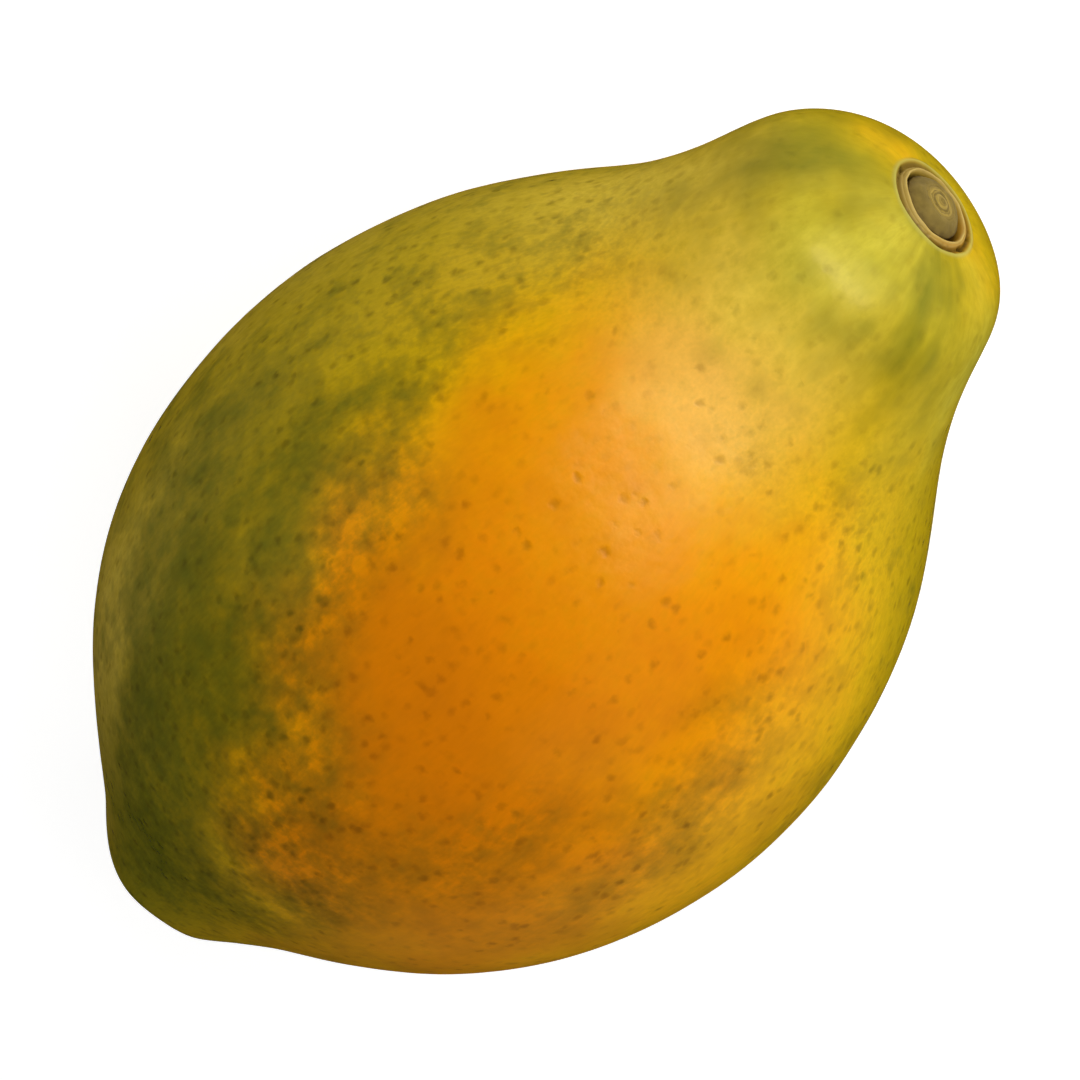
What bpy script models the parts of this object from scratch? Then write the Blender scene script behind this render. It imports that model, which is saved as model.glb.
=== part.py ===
"""A ripe papaya lying on its side, with the dried end of its stalk still seated in the stem scar.

Metres, +Z up. +X runs along the fruit, from the blossom end to the stem end. The origin is the centre of the
bottom of the bounding box, level with the small flat spot that the fruit rests on.
"""

from math import atan2, cos, pi, radians, sin, tan

import bmesh
import bpy
from mathutils import Matrix, Vector

MM = 0.001

# The fruit's control rings, from the blossom end to the stem end. Each one gives its distance along the axis,
# its radius and its centre's drift towards +Y, all in millimetres, and its lean towards -Y in degrees.
RINGS = (
    (-75.0, 9.0, 0.0, 0),
    (-73.0, 12.0, 1.0, 0),
    (-67.0, 16.0, 1.0, 0),
    (-56.0, 25.0, 2.0, 0),
    (-41.0, 38.0, 1.5, 0),
    (-22.0, 46.5, 0.5, 0),
    (-2.0, 48.5, 0.0, 0),
    (17.0, 45.0, -0.5, 0),
    (34.0, 37.0, 0.0, 0),
    (49.0, 26.0, 0.5, 0),
    (61.0, 21.0, 2.0, 0),
    (69.5, 18.5, 1.5, 2),
    (74.0, 12.5, 0.0, 4),
    (75.5, 6.0, 0.0, 6.5),
)
CARPELS = 5
SEGMENTS = 3 * CARPELS
LOBE_SHARE = 0.004  # how far each carpel's middle stands proud, as a share of the radius
SMOOTHING_LEVELS = 2
FLAT_SPOT_DEPTH = 1.2 * MM
BED_SIZE = Vector((100.0, 100.0, 20.0)) * MM  # the slab that takes the flat spot off the belly

# The stem scar, about its own axis. Heights are from the middle of the scar's face.
SCAR_LEAN = radians(RINGS[-1][3])
COLLAR_RADIUS = 6.2 * MM
RIDGE_RADIUS = 5.2 * MM
SOCKET_RADIUS = 4.2 * MM
GROOVE_WALL = 0.5 * MM
GROOVE_DEPTH = 0.8 * MM
SOCKET_DEPTH = 3.0 * MM
CUTTER_RISE = 6 * MM  # how far the scar's cutter stands over the scar
RIDGE_CLEARANCE = 3 * MM  # and how far it clears the inner ridge, which it leaves
TURNED_STEPS = 40
MERGE_DISTANCE = 0.01 * MM

# The stalk's end is a low dome on a plug, with this gap all round the plug.
GAP = 0.3 * MM
STUB_RADIUS = 3.7 * MM
STUB_SHOULDER = 0.1 * MM
STUB_TOP = 1.1 * MM
DOME_POINTS = 6

SKIN_COLOUR = (0.80, 0.36, 0.03, 1.0)
SKIN_ROUGHNESS = 0.42
STUB_COLOUR = (0.30, 0.21, 0.09, 1.0)
STUB_ROUGHNESS = 0.8


def clear_scene():
    """Remove whatever the open file holds."""
    for obj in list(bpy.data.objects):
        bpy.data.objects.remove(obj, do_unlink=True)


def new_collection(name):
    """A collection of this name in the scene."""
    collection = bpy.data.collections.new(name)
    bpy.context.scene.collection.children.link(collection)
    return collection


def material(name, colour, roughness):
    """A Principled material that isn't metal."""
    made = bpy.data.materials.new(name)
    made.use_nodes = True
    shader = made.node_tree.nodes["Principled BSDF"]
    shader.inputs["Base Color"].default_value = colour
    shader.inputs["Roughness"].default_value = roughness
    shader.inputs["Metallic"].default_value = 0.0
    return made


def object_from(name, bm, collection):
    """A named object that holds this bmesh."""
    mesh = bpy.data.meshes.new(name)
    bm.to_mesh(mesh)
    bm.free()
    obj = bpy.data.objects.new(name, mesh)
    collection.objects.link(obj)
    return obj


def as_cutter(obj):
    """Leave a helper out of the render and show it as a wire."""
    obj.hide_render = True
    obj.display_type = "WIRE"


def subtract(obj, cutter):
    """Cut one solid out of another."""
    cut = obj.modifiers.new(cutter.name, "BOOLEAN")
    cut.operation = "DIFFERENCE"
    cut.solver = "EXACT"
    cut.object = cutter


def ring_point(ring, angle):
    """The point at this angle on a control ring, where 0 faces +Y."""
    along, radius, drift, lean = ring
    radius *= 1 + LOBE_SHARE * cos(CARPELS * angle)
    across = radius * cos(angle)
    return Vector((along + across * tan(radians(lean)), drift + across, radius * sin(angle))) * MM


def fruit_cage():
    """A sphere whose rings are moved to the control rings, and whose poles to the middles of the end rings."""
    bm = bmesh.new()
    bands = len(RINGS) + 1
    bmesh.ops.create_uvsphere(bm, u_segments=SEGMENTS, v_segments=bands, radius=1.0)
    pole_distance = sin(pi / bands) / 2
    for vert in bm.verts:
        x, y, z = vert.co
        if Vector((x, y)).length < pole_distance:
            along, _, drift, _ = RINGS[0] if z < 0 else RINGS[-1]
            vert.co = Vector((along, drift, 0.0)) * MM
            continue
        below = atan2(Vector((x, y)).length, -z)
        ring = RINGS[round(below / pi * bands) - 1]
        vert.co = ring_point(ring, atan2(y, x))
    bmesh.ops.recalc_face_normals(bm, faces=bm.faces)
    return bm


def make_fruit(collection):
    """The fruit as one soft solid, before it is cut."""
    obj = object_from("fruit", fruit_cage(), collection)
    smoothing = obj.modifiers.new("smoothing", "SUBSURF")
    smoothing.levels = SMOOTHING_LEVELS
    smoothing.render_levels = SMOOTHING_LEVELS
    obj.data.shade_smooth()
    return obj


def profile_object(name, points, collection):
    """A turned solid from a profile of (radius, height) points, which run down its outer side."""
    bm = bmesh.new()
    verts = [bm.verts.new((radius, 0.0, height)) for radius, height in points]
    for upper, lower in zip(verts, verts[1:]):
        bm.edges.new((upper, lower))
    obj = object_from(name, bm, collection)
    turn = obj.modifiers.new("turn", "SCREW")
    turn.axis = "Z"
    turn.angle = 2 * pi
    turn.steps = TURNED_STEPS
    turn.render_steps = TURNED_STEPS
    turn.use_merge_vertices = True
    turn.merge_threshold = MERGE_DISTANCE
    turn.use_smooth_shade = False
    return obj


def make_scar_cutter(collection):
    """What is cut from the stem end: the groove inside the collar, and the stalk's socket inside the ridge."""
    middle = (COLLAR_RADIUS + RIDGE_RADIUS) / 2
    points = (
        (0.0, CUTTER_RISE),
        (COLLAR_RADIUS, CUTTER_RISE),
        (COLLAR_RADIUS, -GROOVE_WALL),
        (middle, -GROOVE_DEPTH),
        (RIDGE_RADIUS, -GROOVE_WALL),
        (RIDGE_RADIUS, RIDGE_CLEARANCE),
        (SOCKET_RADIUS, RIDGE_CLEARANCE),
        (SOCKET_RADIUS, -SOCKET_DEPTH),
        (0.0, -SOCKET_DEPTH),
    )
    cutter = profile_object("scar_cutter", points, collection)
    as_cutter(cutter)
    return cutter


def make_stub(collection):
    """The stalk's end: a domed top that rises from a shoulder, on a plug that fills the socket but for the gap."""
    rise = STUB_TOP - STUB_SHOULDER
    dome = []
    for step in range(DOME_POINTS):
        angle = pi / 2 * step / (DOME_POINTS - 1)
        dome.append((STUB_RADIUS * sin(angle), STUB_SHOULDER + rise * cos(angle)))
    bottom = GAP - SOCKET_DEPTH
    return profile_object("stem_stub", [*dome, (STUB_RADIUS, bottom), (0.0, bottom)], collection)


def scar_place():
    """The scar's frame: its middle on the fruit's surface, its axis leaning from +X towards -Y."""
    along, _, drift, _ = RINGS[-1]
    turn = Matrix.Rotation(-SCAR_LEAN, 4, "Z") @ Matrix.Rotation(pi / 2, 4, "Y")
    return Matrix.Translation(Vector((along, drift, 0.0)) * MM) @ turn


def world_bounds(objects):
    """The lowest and highest corners of these objects as they are drawn."""
    bpy.context.view_layer.update()
    graph = bpy.context.evaluated_depsgraph_get()
    points = []
    for obj in objects:
        evaluated = obj.evaluated_get(graph)
        points += [evaluated.matrix_world @ vert.co for vert in evaluated.data.vertices]
    low = Vector(min(point[axis] for point in points) for axis in range(3))
    high = Vector(max(point[axis] for point in points) for axis in range(3))
    return low, high


def make_bed_cutter(lowest, collection):
    """A slab under the fruit, whose lowest point this is, that takes the flat spot off the belly."""
    bm = bmesh.new()
    bmesh.ops.create_cube(bm, size=1.0)
    bmesh.ops.scale(bm, vec=BED_SIZE, verts=bm.verts)
    slab = object_from("bed_cutter", bm, collection)
    slab.location = (0.0, 0.0, lowest + FLAT_SPOT_DEPTH - BED_SIZE.z / 2)
    as_cutter(slab)
    return slab


def main():
    clear_scene()
    parts = new_collection("papaya")
    cutters = new_collection("cutters")

    fruit = make_fruit(parts)
    stub = make_stub(parts)
    scar_cutter = make_scar_cutter(cutters)
    for obj in (stub, scar_cutter):
        obj.matrix_world = scar_place()
    fruit.data.materials.append(material("skin", SKIN_COLOUR, SKIN_ROUGHNESS))
    stub.data.materials.append(material("stalk", STUB_COLOUR, STUB_ROUGHNESS))

    uncut_low, _ = world_bounds([fruit])
    bed_cutter = make_bed_cutter(uncut_low.z, cutters)
    subtract(fruit, scar_cutter)
    subtract(fruit, bed_cutter)

    low, high = world_bounds([fruit, stub])
    bed_centre = Vector(((low.x + high.x) / 2, (low.y + high.y) / 2, low.z))
    for obj in (fruit, stub, scar_cutter, bed_cutter):
        obj.location -= bed_centre


main()
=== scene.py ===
"""A ripe papaya lying on its side on a pale floor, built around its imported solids.

The skin is one closed mesh: a coarse cage, smoothed, with the stem scar grown into its end. The dried end of
the stalk is a second piece, seated in the scar. Lengths in the dataclasses are in millimetres and angles in
degrees; the meshes are in metres.
"""

import logging
from dataclasses import dataclass, field
from enum import Enum
from math import atan2, cos, exp, pi, radians, sin, tan
from typing import Any, Sequence, Union

import bmesh
import bpy
from mathutils import Matrix, Vector, noise


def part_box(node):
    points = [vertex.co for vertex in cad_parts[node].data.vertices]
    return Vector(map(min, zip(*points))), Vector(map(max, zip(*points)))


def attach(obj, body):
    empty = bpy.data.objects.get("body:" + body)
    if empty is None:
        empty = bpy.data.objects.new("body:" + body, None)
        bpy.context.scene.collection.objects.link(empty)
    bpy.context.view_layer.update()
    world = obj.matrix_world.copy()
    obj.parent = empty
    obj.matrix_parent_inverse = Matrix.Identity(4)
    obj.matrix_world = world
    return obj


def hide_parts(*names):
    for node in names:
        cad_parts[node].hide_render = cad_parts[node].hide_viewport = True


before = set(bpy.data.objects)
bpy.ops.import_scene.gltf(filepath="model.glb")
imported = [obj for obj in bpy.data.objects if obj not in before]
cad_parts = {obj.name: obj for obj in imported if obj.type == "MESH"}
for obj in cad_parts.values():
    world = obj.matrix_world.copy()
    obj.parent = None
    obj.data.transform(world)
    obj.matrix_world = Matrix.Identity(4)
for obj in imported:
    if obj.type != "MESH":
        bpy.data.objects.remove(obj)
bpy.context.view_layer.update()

LOG = logging.getLogger("papaya")
MM = 0.001
MERGE_DISTANCE = 0.001 * MM
Number = Union[int, float]
Colour = tuple[float, float, float, float]
WHITE: Colour = (1.0, 1.0, 1.0, 1.0)


def smooth_step(low: float, high: float, value: float) -> float:
    """Ease from 0 at low to 1 at high.

    Args:
        low: The value at which the ease starts.
        high: The value at which it ends; it may be below low, and the ease then falls.
        value: The value to ease.

    Returns:
        A number from 0 to 1.
    """
    share = min(max((value - low) / (high - low), 0.0), 1.0)
    return share * share * (3.0 - 2.0 * share)


def bell(centre: float, width: float, value: float) -> float:
    """A bell of height 1 at centre, which falls to 1/e a width away."""
    return exp(-(((value - centre) / width) ** 2))


def grain(point: Vector, size: float, seed: float = 0.0) -> float:
    """Smooth noise.

    Args:
        point: Where to read it.
        size: The length of its waves, in the point's unit.
        seed: Moves the pattern, so that two uses don't match.

    Returns:
        A number from about -1 to 1.
    """
    return noise.noise(point / size + Vector((seed, -seed, 0.5 * seed)))


@dataclass(frozen=True)
class Wander:
    """How a size wanders smoothly from place to place.

    Attributes:
        reach: About how far it goes each way.
        size: The length of its waves, in the place's unit.
        seed: Which pattern it takes.
    """

    reach: float
    size: float
    seed: float

    def at(self, place: Vector) -> float:
        """How far it has gone at a place."""
        return self.reach * grain(place, self.size, self.seed)


def tone(red: int, green: int, blue: int) -> Colour:
    """A display colour, 0 to 255 a channel, as the shader's linear colour."""
    linear = []
    for channel in (red, green, blue):
        share = channel / 255
        linear.append(share / 12.92 if share <= 0.04045 else ((share + 0.055) / 1.055) ** 2.4)
    return (*linear, 1.0)


class Slot(Enum):
    """The record's material slots."""

    SKIN = "skin"
    STALK = "stalk"


class ScarMark(Enum):
    """The parts of the stem scar, each marked on the skin's points for its finish."""

    COLLAR = "collar"
    FACE = "face"
    GROOVE = "groove"
    RIDGE = "ridge"
    SOCKET = "socket"
    CRACK = "crack"


# ---------------------------------------------------------------------------------------------- shader maths


@dataclass(frozen=True)
class Wire:
    """A shader value that takes part in sums."""

    graph: "Graph"
    socket: bpy.types.NodeSocket

    def __add__(self, other: "Value") -> "Wire":
        """This plus other."""
        return self.graph.math("ADD", self, other)

    def __sub__(self, other: "Value") -> "Wire":
        """This minus other."""
        return self.graph.math("SUBTRACT", self, other)

    def __rsub__(self, other: Number) -> "Wire":
        """Other minus this."""
        return self.graph.math("SUBTRACT", other, self)

    def __mul__(self, other: "Value") -> "Wire":
        """This times other."""
        return self.graph.math("MULTIPLY", self, other)

    def __truediv__(self, other: "Value") -> "Wire":
        """This over other."""
        return self.graph.math("DIVIDE", self, other)

    def sibling(self, output: str) -> "Wire":
        """Another output of the same node."""
        return Wire(self.graph, self.socket.node.outputs[output])


Value = Union[Wire, Number]


@dataclass(frozen=True)
class Cloud:
    """Noise that colours or dents a surface.

    Attributes:
        size: The length of its waves, in the place's unit.
        detail: How many finer layers it has.
        roughness: The strength of each layer, as a share of the one before it.
    """

    size: float
    detail: float
    roughness: float = 0.5


@dataclass(frozen=True)
class Spots:
    """Soft spots, some faint and some strong.

    Attributes:
        spacing: The usual distance between them, in the place's unit.
        radius: The radius at which they have faded out.
        faintest: The strength of the faintest, where the strongest has 1.
        middle: The share of the radius that has the spot's full strength.
    """

    spacing: float
    radius: float
    faintest: float = 0.2
    middle: float = 0.1


@dataclass(frozen=True)
class Gloss:
    """How a surface throws back light.

    Attributes:
        roughness: From 0 for a mirror to 1 for chalk.
        relief: The share of its fine relief that shows.
        relief_height: The relief's height.
        specular: How strong its sheen is, where 0.5 is usual.
    """

    roughness: float
    relief: float
    relief_height: float
    specular: float = 0.5


class Graph:
    """A material's shader nodes."""

    def __init__(self, name: str) -> None:
        """Start a material that holds a Principled shader.

        Args:
            name: The material's name.
        """
        self.material = bpy.data.materials.new(name)
        self.material.use_nodes = True
        self.tree = self.material.node_tree
        self.shader = self.tree.nodes["Principled BSDF"]

    def connect(self, socket: bpy.types.NodeSocket, value: Any) -> None:
        """Give an input socket a wire or a constant."""
        if isinstance(value, Wire):
            self.tree.links.new(value.socket, socket)
        else:
            socket.default_value = value

    def node(self, kind: str, settings: dict[str, Any], inputs: dict[Any, Any], output: Any = 0) -> Wire:
        """Add a node.

        Args:
            kind: The node's type, without its ShaderNode prefix.
            settings: Its settings; a ramp's stops are (place, colour) pairs.
            inputs: The wires or constants of its sockets, by name or number.
            output: The name or number of the output socket that is wanted.

        Returns:
            The node's output.
        """
        node = self.tree.nodes.new("ShaderNode" + kind)
        for name, value in settings.items():
            if name == "stops":
                self.set_stops(node.color_ramp, value)
            else:
                setattr(node, name, value)
        for key, value in inputs.items():
            self.connect(node.inputs[key], value)
        return Wire(self, node.outputs[output])

    @staticmethod
    def set_stops(ramp: bpy.types.ColorRamp, stops: Sequence[tuple[float, Colour]]) -> None:
        """Give a ramp these stops."""
        ramp.elements.remove(ramp.elements[1])
        ramp.elements[0].position, ramp.elements[0].color = stops[0]
        for place, colour in stops[1:]:
            ramp.elements.new(place).color = colour

    def math(self, operation: str, *values: Value) -> Wire:
        """A Math node on these values."""
        return self.node("Math", {"operation": operation}, dict(enumerate(values)))

    def vector(self, operation: str, *values: Any, output: str = "Vector") -> Wire:
        """A Vector Math node on these vectors."""
        return self.node("VectorMath", {"operation": operation}, dict(enumerate(values)), output)

    def scaled(self, vector: Wire, factor: Value) -> Wire:
        """A vector times a number."""
        return self.node("VectorMath", {"operation": "SCALE"}, {0: vector, "Scale": factor})

    def combined(self, x: Value, y: Value, z: Value) -> Wire:
        """A vector from its three parts."""
        return self.node("CombineXYZ", {}, {0: x, 1: y, 2: z})

    def part(self, vector: Wire, axis: str) -> Wire:
        """One part of a vector."""
        return self.node("SeparateXYZ", {}, {0: vector}, axis)

    def ease(self, low: float, high: float, value: Wire) -> Wire:
        """Ease from 0 at low to 1 at high, or fall where low is above high."""
        start, end = (0.0, 1.0) if low < high else (1.0, 0.0)
        limits = {"From Min": min(low, high), "From Max": max(low, high), "To Min": start, "To Max": end}
        return self.node("MapRange", {"interpolation_type": "SMOOTHSTEP"}, {"Value": value, **limits})

    def mixed(self, factor: Value, first: Any, second: Any) -> Wire:
        """A colour between two."""
        return self.node(
            "Mix", {"data_type": "RGBA", "clamp_factor": True}, {0: factor, 6: first, 7: second}, 2
        )

    def shaded(self, colour: Wire, factor: Wire) -> Wire:
        """A colour times a grey of this brightness."""
        grey = self.node("CombineColor", {}, {0: factor, 1: factor, 2: factor})
        return self.node(
            "Mix", {"data_type": "RGBA", "blend_type": "MULTIPLY", "clamp_result": False},
            {0: 1.0, 6: colour, 7: grey}, 2,
        )

    def ramp(self, factor: Wire, stops: Sequence[tuple[float, Colour]]) -> Wire:
        """A colour ramp."""
        return self.node("ValToRGB", {"stops": stops}, {0: factor})

    def noise(self, cloud: Cloud, place: Wire) -> Wire:
        """A cloud's noise, from 0 to 1."""
        inputs = {"Scale": 1.0 / cloud.size, "Detail": cloud.detail, "Roughness": cloud.roughness}
        return self.node("TexNoise", {}, {"Vector": place, **inputs})

    def swing(self, cloud: Cloud, place: Wire) -> Wire:
        """A cloud's noise, from -0.5 to 0.5."""
        return self.noise(cloud, place) - 0.5

    def spots(self, spots: Spots, place: Wire) -> Wire:
        """Spots, from 0 between them to 1 in the middle of a strong one."""
        distance = self.node("TexVoronoi", {}, {"Vector": place, "Scale": 1.0 / spots.spacing}, "Distance")
        strength = self.part(distance.sibling("Color"), "X") * (1.0 - spots.faintest) + spots.faintest
        reach = spots.radius / spots.spacing
        return self.ease(reach, spots.middle * reach, distance) * strength

    def mark(self, name: ScarMark) -> Wire:
        """One of the marks that the skin's points hold."""
        return self.node("Attribute", {"attribute_name": name.value}, {}, "Fac")

    def paint(self, colour: Wire, gloss: Gloss, height: Wire) -> bpy.types.Material:
        """Give the shader its colour, its gloss and its fine relief.

        Args:
            colour: The surface's colour.
            gloss: How smooth the surface is, and how deep its relief.
            height: The relief's height, from about 0 to 1.

        Returns:
            The finished material.
        """
        inputs = self.shader.inputs
        self.connect(inputs["Base Color"], colour)
        inputs["Roughness"].default_value = gloss.roughness
        inputs["Specular IOR Level"].default_value = gloss.specular
        relief = {"Strength": gloss.relief, "Distance": gloss.relief_height * MM, "Height": height}
        self.connect(inputs["Normal"], self.node("Bump", {}, relief))
        return self.material


# -------------------------------------------------------------------------------------------------- the fruit


@dataclass(frozen=True)
class Ring:
    """One control ring of the fruit.

    Attributes:
        along: Its place on the axis, from the blossom end to the stem end.
        radius: Its radius.
        drift: How far its centre lies towards +Y.
        lean: How far it leans from +X towards -Y.
    """

    along: float
    radius: float
    drift: float
    lean: float = 0.0

    def point(self, angle: float, lobes: int, lobe_share: float) -> Vector:
        """The ring's point at an angle from +Y.

        Args:
            angle: The angle about the axis, in radians.
            lobes: How many carpels swell the ring.
            lobe_share: How far each one stands proud, as a share of the radius.

        Returns:
            The point, in metres.
        """
        radius = self.radius * (1.0 + lobe_share * cos(lobes * angle))
        across = radius * cos(angle)
        along = self.along + across * tan(radians(self.lean))
        return Vector((along, self.drift + across, radius * sin(angle))) * MM


@dataclass
class StemScar:
    """The ringed scar that the stalk leaves, in its own frame: heights along its axis, radii about it.

    The wanders of its circles are read on a circle of radius 1, and its cracks' noise at the place itself.
    """

    opening: float = 7.4
    opening_depth: float = 10.0  # how far below the scar's face the skin is still cut away
    floor_radius: float = 3.3
    ring_step: float = 0.11
    blend: float = 0.5  # over this width the relief fades in from the opening
    collar: float = 6.45
    collar_width: float = 0.30
    collar_wander: Wander = Wander(0.16, 0.9, 3.0)
    collar_height: float = 0.192
    collar_unevenness: Wander = Wander(0.12, 0.7, 41.0)
    face: tuple[float, float] = (6.40, 6.00)
    groove: float = 5.75
    groove_width: float = 0.28
    worn_groove: float = 0.20  # how much wider the groove is on the worn side
    groove_wander: Wander = Wander(0.14, 0.6, 11.0)
    groove_depth: float = 0.36
    groove_unevenness: Wander = Wander(0.18, 0.5, 13.0)
    ridge: float = 4.98
    ridge_width: float = 0.19
    ridge_wanders: tuple[Wander, ...] = (Wander(0.20, 0.7, 19.0), Wander(0.07, 0.22, 5.0))
    ridge_height: float = 0.34
    ridge_unevenness: Wander = Wander(0.136, 0.4, 17.0)
    line: float = 5.34
    line_width: float = 0.1
    line_share: float = 0.6  # the outer line's height, as a share of the ridge's
    line_wander: Wander = Wander(0.12, 0.5, 29.0)
    lip: float = 4.68
    lip_wander: Wander = Wander(0.15, 0.8, 23.0)
    socket: float = 4.3
    socket_depth: float = 2.3
    crack_depth: float = 0.5
    crack_width: float = 0.34
    crack_noise: tuple[Wander, ...] = (Wander(1.0, 1.1, 31.0), Wander(0.5, 0.45, 7.0))
    crack_start: float = 0.05
    crack_full: float = 0.45
    worn_cracks: float = 0.25  # how much more noise a crack takes on the worn side
    worn_side: float = pi / 2

    def marks(self, radius: float, angle: float) -> dict[ScarMark, float]:
        """How much of each part of the scar there is at a place.

        Args:
            radius: The distance from the scar's axis.
            angle: The angle about it, in radians.

        Returns:
            A number from 0 to 1 for each part.
        """
        circle = Vector((cos(angle), sin(angle), 0.0))
        worn = 0.5 + 0.5 * cos(angle - self.worn_side)
        collar = self.collar + self.collar_wander.at(circle)
        groove = self.groove + self.groove_wander.at(circle)
        ridge = self.ridge + sum(wander.at(circle) for wander in self.ridge_wanders)
        line = self.line + self.line_wander.at(circle)
        lip = self.lip + self.lip_wander.at(circle)
        split = sum(wander.at(circle * radius) for wander in self.crack_noise)
        more = self.worn_cracks * worn
        cracked = smooth_step(self.crack_start + more, self.crack_full + more, split)
        outer_line = self.line_share * bell(line, self.line_width, radius)
        return {
            ScarMark.COLLAR: bell(collar, self.collar_width, radius),
            ScarMark.FACE: smooth_step(*self.face, radius),
            ScarMark.GROOVE: bell(groove, self.groove_width + self.worn_groove * worn, radius),
            ScarMark.RIDGE: max(bell(ridge, self.ridge_width, radius), outer_line),
            ScarMark.SOCKET: smooth_step(lip, self.socket, radius),
            ScarMark.CRACK: cracked * bell(groove, self.crack_width, radius),
        }

    def height(self, angle: float, marks: dict[ScarMark, float]) -> float:
        """The scar's height over the skin that it interrupts.

        Args:
            angle: The angle about the scar's axis, in radians.
            marks: How much of each part there is.

        Returns:
            The height.
        """
        circle = Vector((cos(angle), sin(angle), 0.0))
        rise = (self.collar_height + self.collar_unevenness.at(circle)) * marks[ScarMark.COLLAR]
        rise -= (self.groove_depth + self.groove_unevenness.at(circle)) * marks[ScarMark.GROOVE]
        rise += (self.ridge_height + self.ridge_unevenness.at(circle)) * marks[ScarMark.RIDGE]
        rise -= self.crack_depth * marks[ScarMark.CRACK]
        return rise - self.socket_depth * marks[ScarMark.SOCKET]


@dataclass
class Pucker:
    """The small, lobed pucker at the blossom end; radii are about the fruit's axis."""

    reach: float = 6.0
    dimple: float = 2.6
    dimple_depth: float = 0.9
    lip: float = 3.6
    lip_width: float = 1.2
    lip_height: float = 0.35
    furrow: float = 6.0
    furrow_width: float = 3.0
    furrow_depth: float = 0.09

    def height(self, radius: float, lobe: float) -> float:
        """Its height over the smooth skin.

        Args:
            radius: The distance from the axis.
            lobe: 1 on the middle of a carpel's lobe and -1 between two.

        Returns:
            The height.
        """
        height = self.lip_height * bell(self.lip, self.lip_width, radius)
        height -= self.dimple_depth * bell(0.0, self.dimple, radius)
        return height - self.furrow_depth * bell(self.furrow, self.furrow_width, radius) * (1.0 - lobe)


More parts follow.
